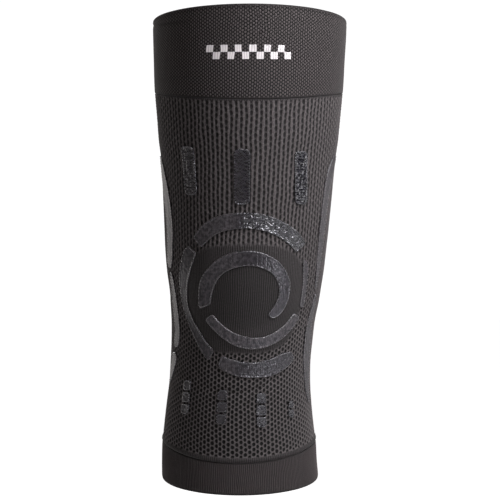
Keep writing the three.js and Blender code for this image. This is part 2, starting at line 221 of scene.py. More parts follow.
def read_smooth(rows, place, key, at):
    """Reads one column of a table between its rows, as a smooth curve through them."""
    low = 0
    while low < len(rows) - 2 and at > rows[low + 1][place]:
        low += 1
    before = max(low - 1, 0)
    after = min(low + 2, len(rows) - 1)

    def slope(i, j):
        return (rows[j][key] - rows[i][key]) / (rows[j][place] - rows[i][place])

    span = rows[low + 1][place] - rows[low][place]
    t = (at - rows[low][place]) / span
    start = slope(before, low + 1) * span
    end = slope(low, after) * span
    from_value = rows[low][key]
    to_value = rows[low + 1][key]
    return (
        from_value * (1 + 2 * t) * (1 - t) ** 2
        + to_value * (3 - 2 * t) * t ** 2
        + start * t * (1 - t) ** 2
        - end * (1 - t) * t ** 2
    )


def measure_section(z):
    """Half width, half depth and middle of the smooth sleeve at a height."""
    at = z / (ABOVE_KNEE if z > 0 else BELOW_KNEE)
    share = {key: read_smooth(SECTIONS, "at", key, at) for key in SECTION_KEYS[1:]}

    def blend(size):
        return (
            KNEE[size]
            + share["thigh"] * (THIGH[size] - KNEE[size])
            + share["shin"] * (SHIN[size] - KNEE[size])
            + share["calf"] * (CALF[size] - KNEE[size])
        )

    return blend("width") / 2, blend("depth") / 2, share["sway"] * LEG_SWAY, blend("setback")


# Sections worked out once, every half millimetre, and read between
SECTION_STEP = 0.5
SECTION_FLOOR = -142.0
SECTION_TABLE = [measure_section(SECTION_FLOOR + i * SECTION_STEP) for i in range(684)]


def section_at(z):
    place = (z - SECTION_FLOOR) / SECTION_STEP
    low = int(place)
    part = place - low
    return [a + (b - a) * part for a, b in zip(SECTION_TABLE[low], SECTION_TABLE[low + 1])]


def kneecap_relief(angle, z):
    """The kneecap's dome and the pad ring round it, over the smooth tube."""
    reach = math.hypot(angle * MEAN_RADIUS, z)
    dome = max(0.0, 1 - (reach / KNEECAP["radius"]) ** 2)
    ring = math.exp(-((reach - PAD_RING["radius"]) / PAD_RING["width"]) ** 2)
    return KNEECAP["rise"] * dome ** 2 + PAD_RING["rise"] * ring


def on_sleeve(angle, z, out):
    """A point on the sleeve, in metres. angle 0 is the front, out is the distance off the knit's face."""
    half_width, half_depth, middle_x, middle_y = section_at(z)
    sine = math.sin(angle)
    cosine = math.cos(angle)
    across = sine / half_width
    forward = -cosine / half_depth
    lift = (kneecap_relief(angle, z) + out) / math.hypot(across, forward)
    x = middle_x + half_width * sine + across * lift
    y = middle_y - half_depth * cosine + forward * lift
    return Vector((x, y, z)) / 1000


def towards_front(angle):
    return ((1 + math.cos(angle)) / 2) ** 2


def top_rim(angle):
    return ABOVE_KNEE + RIM_RISE * math.cos(angle)


def band_seam(angle):
    return ABOVE_KNEE - BAND_HEIGHT - BAND_FRONT_DROP * towards_front(angle)


def cuff_seam(angle):
    return -(BELOW_KNEE - CUFF_HEIGHT) - CUFF_FRONT_DROP * towards_front(angle)


def bottom_hem(angle):
    return -BELOW_KNEE - HEM_DROP * math.cos(angle)


def smooth_step(low, high, value):
    """0 at low and beyond, 1 at high and beyond, smooth between; low may be the larger of the two."""
    t = min(1.0, max(0.0, (value - low) / (high - low)))
    return t * t * (3 - 2 * t)


def wander(angle, z):
    """How far the knit's columns stray from straight, in radians, as hand and leg have pulled them."""
    place = Vector((7 * math.sin(angle), 7 * math.cos(angle), z / 14))
    coarse = noise.noise(place)
    fine = noise.noise(place * 2.7)
    return 0.011 * coarse + 0.006 * fine


def knit_tube(steps_around, stitch_columns, loop, lower_edge, upper_edge, surface):
    """
    A knitted wall once round the leg, as a bmesh. loop lists the wall's section, up the outer face and down
    the inner one, as (share of the height, shift in mm, distance out in mm, course number). surface gives
    the knit's own relief on the outer face and what its material reads, from the stitch column, the course,
    the angle and the height. The UV map counts stitch columns and courses.
    """
    tube = bmesh.new()
    rows = len(loop)
    bmesh.ops.create_grid(tube, x_segments=steps_around, y_segments=rows, size=0.5)
    stitches = tube.loops.layers.uv.new("stitches")
    openness = tube.verts.layers.float.new("openness")
    stretch_and_shade = tube.verts.layers.float.new("stretch_and_shade")
    height_share = tube.verts.layers.float.new("share")
    courses = [row[3] for row in loop] + [loop[-1][3] - 1]
    for face in tube.faces:
        for corner in face.loops:
            flat = corner.vert.co
            course = courses[round((flat.y + 0.5) * rows)]
            corner[stitches].uv = ((flat.x + 0.5) * stitch_columns, course)
    for vert in tube.verts:
        around = vert.co.x + 0.5
        share, shift, out, course = loop[round((vert.co.y + 0.5) * rows) % rows]
        angle = (2 * around - 1) * math.pi
        low = lower_edge(angle)
        z = low + share * (upper_edge(angle) - low) + shift
        relief, vert[openness], vert[stretch_and_shade] = surface(around * stitch_columns, course, angle, z, out)
        vert[height_share] = share
        vert.co = on_sleeve(angle + wander(angle, z), z, out + relief)
    bmesh.ops.remove_doubles(tube, verts=tube.verts, dist=1e-7)
    return tube


def finish_piece(name, mesh, material, nodes):
    """Turns a bmesh into a smooth-shaded piece that stands for CAD nodes and rides with the sleeve."""
    data = bpy.data.meshes.new(name)
    mesh.to_mesh(data)
    mesh.free()
    data.shade_smooth()
    data.materials.append(material)
    piece = bpy.data.objects.new(name, data)
    bpy.context.collection.objects.link(piece)
    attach(piece, "root")
    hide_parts(*nodes)
    return piece


def wall_loop(wall, shares, steps_per_course, edges, inner_rows, inner_course):
    """
    The section of a knitted wall, for knit_tube: rows at these shares of the height up the outer face, a
    rounded upper edge, inner_rows down the inner face and a rounded lower edge. edges: how far the lower and
    the upper edge are rounded, in mm. The inner face's courses are counted on from inner_course.
    """
    lower, upper = edges
    turns = [math.radians(turn) for turn in (30, 60, 90, 120, 150)]
    last = (len(shares) - 1) / steps_per_course
    loop = []
    for number, share in enumerate(shares):
        loop.append((share, lower * (1 - share) - upper * share, 0.0, number / steps_per_course))
    for turn in turns:
        out = wall / 2 * (math.cos(turn) - 1)
        loop.append((1.0, upper * (math.sin(turn) - 1), out, last))
    for row in range(inner_rows + 1):
        share = shares[round((1 - row / inner_rows) * (len(shares) - 1))]
        loop.append((share, lower * (1 - share) - upper * share, -wall, inner_course + last * share))
    for turn in reversed(turns):
        out = wall / 2 * (math.cos(turn) - 1)
        loop.append((0.0, lower * (1 - math.sin(turn)), out, 0.0))
    return loop


MESH_COLUMNS = 118
MESH_STEPS = 4
HOLE_DEPTH = 0.85
COURSE_LOW = 3.45
COURSE_HIGH = 4.3
SEAM_ROUND = 0.5
FINE_RIB_RISE = 0.09
ROLL_HEIGHT = 3.4
ROLL_THICKNESS = 0.6
TUCK = {"radius": 66.5, "middle": 2.0, "width": 1.3, "depth": 1.0}
KNEE_PATCH = {"half_width": 44.5, "top": 33.0, "bottom": -40.0}


def mesh_openness(angle, z):
    """1 in the open mesh, 0 where the knit is plain, and down to -1 in the dark disc over the kneecap."""
    middle = (KNEE_PATCH["top"] + KNEE_PATCH["bottom"]) / 2
    half_height = (KNEE_PATCH["top"] - KNEE_PATCH["bottom"]) / 2
    across = abs(angle) * MEAN_RADIUS / KNEE_PATCH["half_width"]
    along = abs(z - middle) / half_height
    patch = smooth_step(0.97, 1.03, (across ** 3 + along ** 3) ** (1 / 3))
    above_roll = smooth_step(ROLL_HEIGHT - 0.6, ROLL_HEIGHT + 0.6, z - cuff_seam(angle))
    below_band = smooth_step(1.0, 1.6, band_seam(angle) - z)
    disc = smooth_step(28.0, 22.0, math.hypot(angle * MEAN_RADIUS, z))
    return patch * above_roll * below_band - disc


def staggered(column, course, half_width, half_height, edge):
    """1 at the middle of each cell of the knit, 0 outside it. Cells of neighbouring columns are staggered."""
    across = (column % 1 - 0.5) / half_width
    shifted = course + (0.5 if column % 2 >= 1 else 0.0)
    along = (shifted % 1 - 0.5) / half_height
    return 1 - smooth_step(edge, 2.0 - edge, across ** 2 + along ** 2)


def body_surface(column, course, angle, z, out):
    """Relief, openness and stretch of the mesh knit, which is tucked in below the outer ring of prints."""
    openness = mesh_openness(angle, z)
    tall = smooth_step(-35.0, 45.0, z)
    if out < 0:
        return 0.0, openness, tall
    open_share = max(0.0, openness)
    hole = staggered(column, course, 0.43 - 0.12 * tall, 0.43, 0.5) * open_share
    fine_rib = FINE_RIB_RISE * math.cos(4 * math.pi * column) * (1 - open_share * (1 + 0.8 * tall))
    roll = ROLL_THICKNESS * math.exp(-((z - cuff_seam(angle) - ROLL_HEIGHT / 2) / 1.1) ** 2)
    across = angle * MEAN_RADIUS
    off_tuck = math.hypot(across - TUCK["middle"], z) - TUCK["radius"] + 0.12 * across
    tuck = TUCK["depth"] * math.exp(-(off_tuck / TUCK["width"]) ** 2)
    tuck *= smooth_step(-32.0, -16.0, across) * smooth_step(36.0, 22.0, across) * (z < 0)
    return fine_rib + roll - HOLE_DEPTH * hole - tuck, openness, tall


# Courses at the front, from the cuff's seam up: closer together on the shin than on the thigh
course_heights = [cuff_seam(0)]
while course_heights[-1] < band_seam(0):
    height = course_heights[-1]
    pitch = COURSE_LOW + (COURSE_HIGH - COURSE_LOW) * smooth_step(-40.0, 60.0, height)
    course_heights.append(height + pitch / MESH_STEPS)
reach = course_heights[-1] - course_heights[0]
course_shares = [(height - course_heights[0]) / reach for height in course_heights]
BODY_INNER_ROWS = 16
body_loop = wall_loop(BODY_WALL, course_shares, MESH_STEPS, (SEAM_ROUND, SEAM_ROUND), BODY_INNER_ROWS, 0.0)


def place_in_cell(tree, counts):
    """How far across and up its own cell of the knit each point lies. Neighbouring columns are staggered."""
    pair = add_node(tree, "ShaderNodeMath", {"operation": "FLOORED_MODULO"}, {0: counts.outputs["X"], 1: 2.0})
    odd = add_node(tree, "ShaderNodeMath", {"operation": "GREATER_THAN"}, {0: pair.outputs[0], 1: 1.0})
    shifted = add_node(tree, "ShaderNodeMath", {"operation": "MULTIPLY_ADD"}, {
        0: odd.outputs[0], 1: 0.5, 2: counts.outputs["Y"],
    })
    in_course = add_node(tree, "ShaderNodeMath", {"operation": "FRACT"}, {0: shifted.outputs[0]})
    in_column = add_node(tree, "ShaderNodeMath", {"operation": "FRACT"}, {0: counts.outputs["X"]})
    return in_column, in_course


def shade_nylon(tree, colour, yarn_height, strength, distance):
    """The surface of all three knits: matt textured nylon, as rough as its yarn."""
    yarn_bump = add_node(tree, "ShaderNodeBump", {}, {
        "Height": yarn_height, "Strength": strength, "Distance": distance,
    })
    fabric = add_node(tree, "ShaderNodeBsdfPrincipled", {}, {
        "Base Color": colour,
        "Roughness": 0.8,
        "IOR": 1.5,
        "Specular IOR Level": 0.2,
        "Sheen Weight": 0.04,
        "Sheen Roughness": 0.45,
        "Normal": yarn_bump.outputs["Normal"],
    })
    add_node(tree, "ShaderNodeOutputMaterial", {}, {"Surface": fabric.outputs["BSDF"]})


# Charcoal mesh knit, matt textured nylon with elastane: a net of soft yarn round holes, darker and closer
# where it is plain over the kneecap. The holes are coloured near black as painted shade, and the thigh's ribs
# are painted lighter, partly as a highlight. The pattern counts stitch columns and courses.
mesh_knit, tree = new_material("mesh_knit_nylon")
stitch_map = add_node(tree, "ShaderNodeUVMap", {"uv_map": "stitches"}, {})
counts = add_node(tree, "ShaderNodeSeparateXYZ", {}, {"Vector": stitch_map.outputs["UV"]})
openness = add_node(tree, "ShaderNodeAttribute", {"attribute_name": "openness"}, {})
stretch_and_shade = add_node(tree, "ShaderNodeAttribute", {"attribute_name": "stretch_and_shade"}, {})
in_column, in_course = place_in_cell(tree, counts)
from_middle = add_node(tree, "ShaderNodeMath", {"operation": "SUBTRACT"}, {0: in_column.outputs[0], 1: 0.5})
from_centre = add_node(tree, "ShaderNodeMath", {"operation": "SUBTRACT"}, {0: in_course.outputs[0], 1: 0.5})
half_width = add_node(tree, "ShaderNodeMapRange", {}, {
    "Value": stretch_and_shade.outputs["Fac"], "To Min": 0.44, "To Max": 0.32,
})
across = add_node(tree, "ShaderNodeMath", {"operation": "DIVIDE"}, {
    0: from_middle.outputs[0], 1: half_width.outputs[0],
})
along = add_node(tree, "ShaderNodeMath", {"operation": "DIVIDE"}, {0: from_centre.outputs[0], 1: 0.43})
along_squared = add_node(tree, "ShaderNodeMath", {"operation": "MULTIPLY"}, {
    0: along.outputs[0], 1: along.outputs[0],
})
spread = add_node(tree, "ShaderNodeMath", {"operation": "MULTIPLY_ADD"}, {
    0: across.outputs[0], 1: across.outputs[0], 2: along_squared.outputs[0],
})
hole = add_node(tree, "ShaderNodeMapRange", {"interpolation_type": "SMOOTHSTEP"}, {
    "Value": spread.outputs[0], "From Min": 1.15, "From Max": 0.55, "To Min": 0.0, "To Max": 1.0,
})
open_hole = add_node(tree, "ShaderNodeMath", {"operation": "MULTIPLY"}, {
    0: hole.outputs[0], 1: openness.outputs["Fac"],
})
# Straight upright ribs between the columns, two wales each, where the thigh stretches the mesh. They are
# painted lighter: denser yarn, and a painted highlight on their raised ridges
from_rib = add_node(tree, "ShaderNodeMath", {"operation": "ABSOLUTE"}, {0: from_middle.outputs[0]})
rib = add_node(tree, "ShaderNodeMapRange", {"interpolation_type": "SMOOTHSTEP"}, {
    "Value": from_rib.outputs[0], "From Min": 0.26, "From Max": 0.36, "To Min": 0.0, "To Max": 1.0,
})
groove = add_node(tree, "ShaderNodeMapRange", {"interpolation_type": "SMOOTHSTEP"}, {
    "Value": from_rib.outputs[0], "From Min": 0.42, "From Max": 0.5, "To Min": 1.0, "To Max": 0.15,
})
split_rib = add_node(tree, "ShaderNodeMath", {"operation": "MULTIPLY"}, {
    0: rib.outputs[0], 1: groove.outputs[0],
})
rib_stretched = add_node(tree, "ShaderNodeMath", {"operation": "MULTIPLY"}, {
    0: split_rib.outputs[0], 1: stretch_and_shade.outputs["Fac"],
})
rib_yarn_and_highlight = add_node(tree, "ShaderNodeMath", {"operation": "MULTIPLY"}, {
    0: rib_stretched.outputs[0], 1: openness.outputs["Fac"],
})
# Uneven yarn, a few stitches at a time
yarn_scale = add_node(tree, "ShaderNodeMapping", {}, {
    "Vector": stitch_map.outputs["UV"], "Scale": (2.0, 3.0, 1.0),
})
yarn = add_node(tree, "ShaderNodeTexNoise", {}, {
    "Vector": yarn_scale.outputs["Vector"], "Scale": 1.0, "Detail": 3.0, "Roughness": 0.7,
})
yarn_shade = add_node(tree, "ShaderNodeMapRange", {}, {
    "Value": yarn.outputs["Fac"], "From Min": 0.3, "From Max": 0.7, "To Min": 0.55, "To Max": 1.45,
})
net_yarn = add_node(tree, "ShaderNodeMix", {"data_type": "RGBA"}, {
    "Factor": stretch_and_shade.outputs["Fac"], "A": linear("#454142"), "B": linear("#2c292a"),
})
disc = add_node(tree, "ShaderNodeMapRange", {}, {
    "Value": openness.outputs["Fac"], "From Min": 0.0, "From Max": -1.0, "To Min": 0.0, "To Max": 1.0,
})
rib_turn = add_node(tree, "ShaderNodeMath", {"operation": "MULTIPLY"}, {
    0: counts.outputs["X"], 1: 2 * math.tau,
})
rib_wave = add_node(tree, "ShaderNodeMath", {"operation": "COSINE"}, {0: rib_turn.outputs[0]})
fine_rib = add_node(tree, "ShaderNodeMapRange", {}, {
    "Value": rib_wave.outputs[0], "From Min": -1.0, "From Max": 1.0, "To Min": 0.0, "To Max": 1.0,
})
plain_ribs = add_node(tree, "ShaderNodeMix", {"data_type": "RGBA"}, {
    "Factor": fine_rib.outputs[0], "A": linear("#0c0a0b"), "B": linear("#2e2b2c"),
})
disc_ribs = add_node(tree, "ShaderNodeMix", {"data_type": "RGBA"}, {
    "Factor": fine_rib.outputs[0], "A": linear("#020202"), "B": linear("#2a2728"),
})
plain = add_node(tree, "ShaderNodeMix", {"data_type": "RGBA"}, {
    "Factor": disc.outputs[0], "A": plain_ribs.outputs["Result"], "B": disc_ribs.outputs["Result"],
})
plain_or_net = add_node(tree, "ShaderNodeMix", {"data_type": "RGBA"}, {
    "Factor": openness.outputs["Fac"], "A": plain.outputs["Result"], "B": net_yarn.outputs["Result"],
})
# Painted highlight: the ribs take a lighter colour, partly for their denser yarn and partly for the light on
# their ridges
net = add_node(tree, "ShaderNodeMix", {"data_type": "RGBA"}, {
    "Factor": rib_yarn_and_highlight.outputs[0], "A": plain_or_net.outputs["Result"], "B": linear("#474344"),
})
# Painted shade: the holes are coloured near black for the shade inside them, a little less dark where the
# thigh stretches them open
painted_hole_shade = add_node(tree, "ShaderNodeMix", {"data_type": "RGBA"}, {
    "Factor": stretch_and_shade.outputs["Fac"], "A": linear("#020202"), "B": linear("#100e0f"),
})
holed = add_node(tree, "ShaderNodeMix", {"data_type": "RGBA"}, {
    "Factor": open_hole.outputs[0], "A": net.outputs["Result"], "B": painted_hole_shade.outputs["Result"],
})
shaded = add_node(tree, "ShaderNodeVectorMath", {"operation": "SCALE"}, {
    0: holed.outputs["Result"], "Scale": yarn_shade.outputs[0],
})
# Stitches along the yarn, about eight to a course and four to a column
leg_wave = add_node(tree, "ShaderNodeMath", {"operation": "MULTIPLY"}, {
    0: counts.outputs["X"], 1: 4 * math.tau,
})
legs = add_node(tree, "ShaderNodeMath", {"operation": "SINE"}, {0: leg_wave.outputs[0]})
stitch_slant = add_node(tree, "ShaderNodeMath", {"operation": "MULTIPLY"}, {0: legs.outputs[0], 1: 1.1})
stitch_wave = add_node(tree, "ShaderNodeMath", {"operation": "MULTIPLY_ADD"}, {
    0: counts.outputs["Y"], 1: 7 * math.tau, 2: stitch_slant.outputs[0],
})
stitch = add_node(tree, "ShaderNodeMath", {"operation": "SINE"}, {0: stitch_wave.outputs[0]})
yarn_height = add_node(tree, "ShaderNodeMath", {"operation": "MULTIPLY_ADD"}, {
    0: legs.outputs[0], 1: 0.6, 2: stitch.outputs[0],
})
shade_nylon(tree, shaded.outputs["Vector"], yarn_height.outputs[0], 0.35, 0.00012)

# The tube is made whole, so that its shading is even, and then parted level with the kneecap
body = knit_tube(MESH_COLUMNS * MESH_STEPS, MESH_COLUMNS, body_loop, cuff_seam, band_seam, body_surface)
body.normal_update()
whole_normal = body.verts.layers.float_vector.new("whole_normal")
for vert in body.verts:
    vert[whole_normal] = vert.normal

parting_share = course_shares[round((len(course_shares) - 1) / 2)]
for name, thigh_side in (("knit_body_thigh", True), ("knit_body_shin", False)):
    part = body.copy()
    share_layer = part.verts.layers.float["share"]
    dropped = []
    for face in part.faces:
        middle = sum(corner.vert[share_layer] for corner in face.loops) / len(face.loops)
        if (middle > parting_share) != thigh_side:
            dropped.append(face)
    bmesh.ops.delete(part, geom=dropped, context="FACES")
    cut = [edge for edge in part.edges if edge.is_boundary]
    bmesh.ops.bridge_loops(part, edges=cut)
    piece = finish_piece(name, part, mesh_knit, ["knit_body"])
    normals = [0.0] * (3 * len(piece.data.vertices))
    piece.data.attributes["whole_normal"].data.foreach_get("vector", normals)
    piece.data.normals_split_custom_set_from_vertices(list(zip(normals[0::3], normals[1::3], normals[2::3])))
body.free()


# Thigh band
# Double-thickness elastic band in fine piqué knit with a turned, rounded rim, knitted on above the mesh. Its
# columns are half as wide as the mesh's, and a row of plain white checks is knitted in at the front.

BAND_COLUMNS = 256
BAND_STEPS = 3
BAND_COURSES = 26
COURSE_STEPS = 4
RIM_ROUND = 1.1
HEM_HEIGHT = 2.6
DOT_RISE = 0.24
CREASE = {"width": 0.7, "depth": 0.12, "left_depth": 0.22}
WRINKLE = {"height": 180.3, "fall": 3.6, "width": 1.1, "depth": 0.3}
CHECKS = {"across": 12, "columns": 3, "courses": 2}


def band_surface(column, course, angle, z, out):
    """Relief of the piqué dots, openness below the rim, and the painted shade of the crease under it and of
    the wrinkle.
    """
    below_rim = top_rim(angle) - z
    knitted = smooth_step(0.9, 1.6, below_rim) * smooth_step(0.8, 1.8, z - band_seam(angle))
    if out < 0:
        return 0.0, knitted, 0.0
    on_left = smooth_step(-0.6, -1.2, angle) * smooth_step(-2.6, -1.9, angle)
    crease_depth = CREASE["depth"] + CREASE["left_depth"] * on_left
    crease = math.exp(-((below_rim - HEM_HEIGHT) / CREASE["width"]) ** 2)
    wrinkle = math.exp(-((z - WRINKLE["height"] + WRINKLE["fall"] * angle) / WRINKLE["width"]) ** 2)
    wrinkle *= smooth_step(-0.45, -0.9, angle) * smooth_step(-2.2, -1.7, angle)
    dot = DOT_RISE * knitted * (staggered(column, course, 0.44, 0.40, 0.35) - 0.5)
    # Painted shade for the material: darkest in the crease and along the wrinkle
    shadow = max(crease, 0.9 * wrinkle)
    return dot - crease_depth * crease - WRINKLE["depth"] * wrinkle, knitted, shadow


band_rows = BAND_COURSES * COURSE_STEPS
band_shares = [row / band_rows for row in range(band_rows + 1)]
band_loop = wall_loop(BAND_WALL, band_shares, COURSE_STEPS, (SEAM_ROUND, RIM_ROUND), 8, 100.0)

# Fine piqué knit, matt textured nylon: light dots of yarn on dark gaps, with white checks knitted in, and
# painted shade in the crease and wrinkle under the rim and along the columns of the white checks.
band_knit, tree = new_material("pique_knit_nylon")
stitch_map = add_node(tree, "ShaderNodeUVMap", {"uv_map": "stitches"}, {})
counts = add_node(tree, "ShaderNodeSeparateXYZ", {}, {"Vector": stitch_map.outputs["UV"]})
knitted = add_node(tree, "ShaderNodeAttribute", {"attribute_name": "openness"}, {})
# Reads the painted shade of the crease and the wrinkle under the rim
crease = add_node(tree, "ShaderNodeAttribute", {"attribute_name": "stretch_and_shade"}, {})
in_column, in_course = place_in_cell(tree, counts)
across = add_node(tree, "ShaderNodeMath", {"operation": "MULTIPLY_ADD"}, {
    0: in_column.outputs[0], 1: 2.4, 2: -1.2,
})
along = add_node(tree, "ShaderNodeMath", {"operation": "MULTIPLY_ADD"}, {
    0: in_course.outputs[0], 1: 2.5, 2: -1.25,
})
along_squared = add_node(tree, "ShaderNodeMath", {"operation": "MULTIPLY"}, {
    0: along.outputs[0], 1: along.outputs[0],
})
spread = add_node(tree, "ShaderNodeMath", {"operation": "MULTIPLY_ADD"}, {
    0: across.outputs[0], 1: across.outputs[0], 2: along_squared.outputs[0],
})
dot = add_node(tree, "ShaderNodeMapRange", {"interpolation_type": "SMOOTHSTEP"}, {
    "Value": spread.outputs[0], "From Min": 1.15, "From Max": 0.3, "To Min": 0.0, "To Max": 1.0,
})
yarn_scale = add_node(tree, "ShaderNodeMapping", {}, {
    "Vector": stitch_map.outputs["UV"], "Scale": (1.0, 1.3, 1.0),
})
yarn = add_node(tree, "ShaderNodeTexNoise", {}, {
    "Vector": yarn_scale.outputs["Vector"], "Scale": 1.0, "Detail": 4.0, "Roughness": 0.75,
})
yarn_shade = add_node(tree, "ShaderNodeMapRange", {}, {
    "Value": yarn.outputs["Fac"], "From Min": 0.3, "From Max": 0.7, "To Min": 0.72, "To Max": 1.28,
})
dotted = add_node(tree, "ShaderNodeMix", {"data_type": "RGBA"}, {
    "Factor": dot.outputs[0], "A": linear("#050404"), "B": linear("#3f3a3b"),
})
hemmed = add_node(tree, "ShaderNodeMix", {"data_type": "RGBA"}, {
    "Factor": knitted.outputs["Fac"], "A": linear("#181516"), "B": dotted.outputs["Result"],
})
# Two rows of checks, white and dark by turns, at the middle of the band's front
from_front = add_node(tree, "ShaderNodeMath", {"operation": "SUBTRACT"}, {
    0: counts.outputs["X"], 1: BAND_COLUMNS / 2,
})
from_row = add_node(tree, "ShaderNodeMath", {"operation": "SUBTRACT"}, {
    0: counts.outputs["Y"], 1: BAND_COURSES / 2,
})
near_front = add_node(tree, "ShaderNodeMath", {"operation": "COMPARE"}, {
    0: from_front.outputs[0], 1: 0.0, 2: CHECKS["across"] * CHECKS["columns"] / 2,
})
near_row = add_node(tree, "ShaderNodeMath", {"operation": "COMPARE"}, {
    0: from_row.outputs[0], 1: 0.0, 2: CHECKS["courses"],
})
in_strip = add_node(tree, "ShaderNodeMath", {"operation": "MULTIPLY"}, {
    0: near_front.outputs[0], 1: near_row.outputs[0],
})
check_across = add_node(tree, "ShaderNodeMath", {"operation": "DIVIDE"}, {
    0: from_front.outputs[0], 1: CHECKS["columns"],
})
check_number = add_node(tree, "ShaderNodeMath", {"operation": "FLOOR"}, {0: check_across.outputs[0]})
upper_row = add_node(tree, "ShaderNodeMath", {"operation": "GREATER_THAN"}, {0: from_row.outputs[0], 1: 0.0})
check_sum = add_node(tree, "ShaderNodeMath", {"operation": "ADD"}, {
    0: check_number.outputs[0], 1: upper_row.outputs[0],
})
check_turn = add_node(tree, "ShaderNodeMath", {"operation": "FLOORED_MODULO"}, {
    0: check_sum.outputs[0], 1: 2.0,
})
white_check = add_node(tree, "ShaderNodeMath", {"operation": "MULTIPLY"}, {
    0: check_turn.outputs[0], 1: in_strip.outputs[0],
})
# Painted shade: the white checks darken towards the edges of each column, as shadow lines between the columns
column_edge = add_node(tree, "ShaderNodeMath", {"operation": "ABSOLUTE"}, {0: across.outputs[0]})
white_column_shade = add_node(tree, "ShaderNodeMapRange", {}, {
    "Value": column_edge.outputs[0], "From Min": 0.5, "From Max": 1.2, "To Min": 1.0, "To Max": 0.55,
})
checked = add_node(tree, "ShaderNodeMix", {"data_type": "RGBA"}, {
    "Factor": white_check.outputs[0], "A": hemmed.outputs["Result"], "B": linear("#bdb9bc"),
})
tone_and_column_shade = add_node(tree, "ShaderNodeMix", {"data_type": "FLOAT"}, {
    "Factor": white_check.outputs[0], "A": yarn_shade.outputs[0], "B": white_column_shade.outputs[0],
})
# Painted shade: the colour darkens to 0.6 in the crease and along the wrinkle
painted_crease_shade = add_node(tree, "ShaderNodeMapRange", {}, {
    "Value": crease.outputs["Fac"], "To Min": 1.0, "To Max": 0.6,
})
shade = add_node(tree, "ShaderNodeMath", {"operation": "MULTIPLY"}, {
    0: tone_and_column_shade.outputs[0], 1: painted_crease_shade.outputs[0],
})
shaded = add_node(tree, "ShaderNodeVectorMath", {"operation": "SCALE"}, {
    0: checked.outputs["Result"], "Scale": shade.outputs[0],
})
shade_nylon(tree, shaded.outputs["Vector"], yarn.outputs["Fac"], 0.4, 0.0003)

band = knit_tube(BAND_COLUMNS * BAND_STEPS, BAND_COLUMNS, band_loop, band_seam, top_rim, band_surface)
finish_piece("thigh_band_knit", band, band_knit, ["thigh_band"])


# Calf cuff
# Elastic bottom cuff in fine upright rib, with a rounded hem, knitted on below the mesh's rolled edge.

CUFF_RIBS = 256
CUFF_STEPS = 4
CUFF_ROWS = 28
CUFF_ROWS_PER_COURSE = 1.2
RIB_RISE = 0.22


def cuff_surface(column, course, angle, z, out):
    """Relief of the upright ribs, which flatten at the seam and the hem."""
    ribbed = smooth_step(0.8, 2.4, z - bottom_hem(angle)) * smooth_step(0.5, 1.5, cuff_seam(angle) - z)
    if out < 0:
        return 0.0, ribbed, 0.0
    return RIB_RISE * ribbed * math.cos(2 * math.pi * column), ribbed, 0.0


cuff_shares = [row / CUFF_ROWS for row in range(CUFF_ROWS + 1)]
cuff_loop = wall_loop(CUFF_WALL, cuff_shares, CUFF_ROWS_PER_COURSE, (RIM_ROUND, SEAM_ROUND), 7, 100.0)

# Fine rib knit, matt textured nylon: upright ribs with darker furrows and a plain hem.
cuff_knit, tree = new_material("rib_knit_nylon")
stitch_map = add_node(tree, "ShaderNodeUVMap", {"uv_map": "stitches"}, {})
counts = add_node(tree, "ShaderNodeSeparateXYZ", {}, {"Vector": stitch_map.outputs["UV"]})
ribbed = add_node(tree, "ShaderNodeAttribute", {"attribute_name": "openness"}, {})
rib_turn = add_node(tree, "ShaderNodeMath", {"operation": "MULTIPLY"}, {0: counts.outputs["X"], 1: math.tau})
rib_wave = add_node(tree, "ShaderNodeMath", {"operation": "COSINE"}, {0: rib_turn.outputs[0]})
rib = add_node(tree, "ShaderNodeMapRange", {}, {
    "Value": rib_wave.outputs[0], "From Min": -1.0, "From Max": 0.6, "To Min": 0.0, "To Max": 1.0,
})
yarn_scale = add_node(tree, "ShaderNodeMapping", {}, {
    "Vector": stitch_map.outputs["UV"], "Scale": (1.0, 0.8, 1.0),
})
yarn = add_node(tree, "ShaderNodeTexNoise", {}, {
    "Vector": yarn_scale.outputs["Vector"], "Scale": 1.0, "Detail": 4.0, "Roughness": 0.75,
})
yarn_shade = add_node(tree, "ShaderNodeMapRange", {}, {
    "Value": yarn.outputs["Fac"], "From Min": 0.3, "From Max": 0.7, "To Min": 0.8, "To Max": 1.2,
})
ribs = add_node(tree, "ShaderNodeMix", {"data_type": "RGBA"}, {
    "Factor": rib.outputs[0], "A": linear("#020202"), "B": linear("#363132"),
})
hemmed = add_node(tree, "ShaderNodeMix", {"data_type": "RGBA"}, {
    "Factor": ribbed.outputs["Fac"], "A": linear("#1a1718"), "B": ribs.outputs["Result"],
})
shaded = add_node(tree, "ShaderNodeVectorMath", {"operation": "SCALE"}, {
    0: hemmed.outputs["Result"], "Scale": yarn_shade.outputs[0],
})
shade_nylon(tree, shaded.outputs["Vector"], yarn.outputs["Fac"], 0.4, 0.0003)

cuff = knit_tube(CUFF_RIBS * CUFF_STEPS, CUFF_RIBS, cuff_loop, bottom_hem, cuff_seam, cuff_surface)
finish_piece("calf_cuff_knit", cuff, cuff_knit, ["calf_cuff"])


# Thigh bars
# Three upright bars of silicone, screen-printed onto the knit above the knee and cured there, so the ribs of
# the knit show through and their edges stand in a small bead.

PRINT_THICKNESS = 0.5
PRINT_BEVEL = 0.45
PRINT_EDGE_ROWS = (0.0, 0.1, 0.25, 0.45, 0.75, 1.1)
PRINT_CELL = 0.42
BEAD = {"inset": 0.55, "width": 0.42, "pitch": 1.9, "rise": 0.25, "swell": 0.22}
THIGH_BAR = {"width": 10.0, "length": 36.0, "top": 97.0, "corner": 3.6}


def spaced(length, cell):
    """Distances along a print, close together at both ends and a cell apart between."""
    squeeze = min(1.0, length / 3.2)
    ends = [row * squeeze for row in PRINT_EDGE_ROWS]
    middle = length - 2 * ends[-1]
    count = max(1, round(middle / cell))
    inner = [ends[-1] + middle * (i + 1) / count for i in range(count - 1)]
    return ends + inner + [length - row for row in reversed(ends)]


